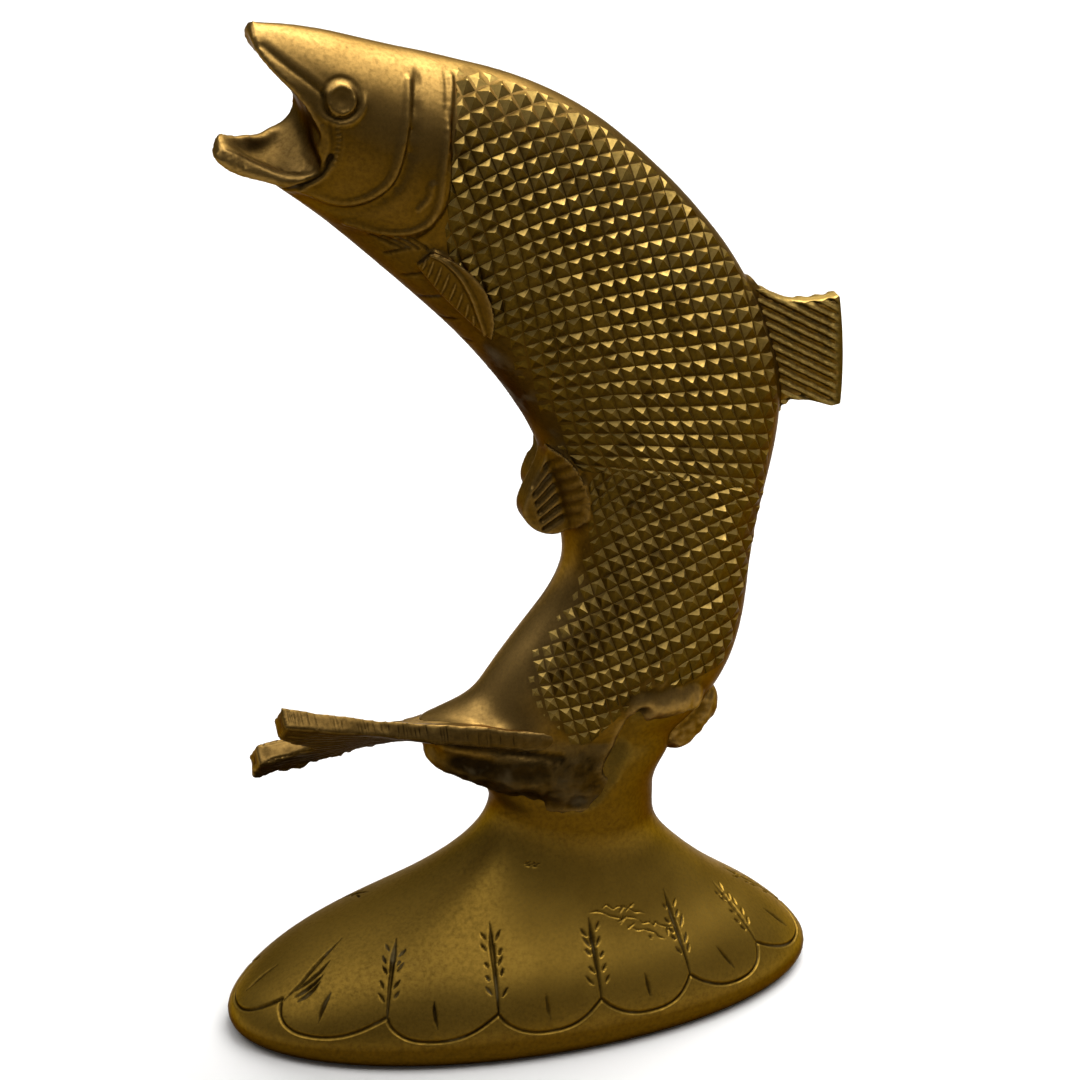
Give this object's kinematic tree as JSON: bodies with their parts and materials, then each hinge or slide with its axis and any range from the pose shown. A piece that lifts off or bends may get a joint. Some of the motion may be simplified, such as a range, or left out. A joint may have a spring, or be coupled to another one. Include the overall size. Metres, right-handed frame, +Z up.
{
  "type": "fish figurine",
  "caption": "Cast brass ornament of a leaping fish with an open mouth, its scaled body bent over a hollow oval pedestal that stands free on a flat rim.",
  "frame": {"origin": "centre of the whole figurine's footprint, on the surface it stands on", "axes": "+Z up, -X the way the head looks, +Y to the fish's right side; the fish's middle plane is Y zero"},
  "size_m": [0.1218, 0.058, 0.2035],
  "materials": {
    "cast_brass": "aged, satin on the head and pedestal, chased on the flanks",
    "fixing_steel": "plain, dulled"
  },
  "bodies": {
    "root": {"base_dome": "cast_brass", "fish_body": "cast_brass", "dorsal_fin": "cast_brass", "adipose_fin": "cast_brass", "pectoral_fin_left": "cast_brass", "pectoral_fin_right": "cast_brass", "pelvic_fin_left": "cast_brass", "pelvic_fin_right": "cast_brass", "tail_fin": "cast_brass", "mounting_stud": "fixing_steel", "mounting_washer": "fixing_steel", "mounting_nut": "fixing_steel"}
  },
  "joints": []
}
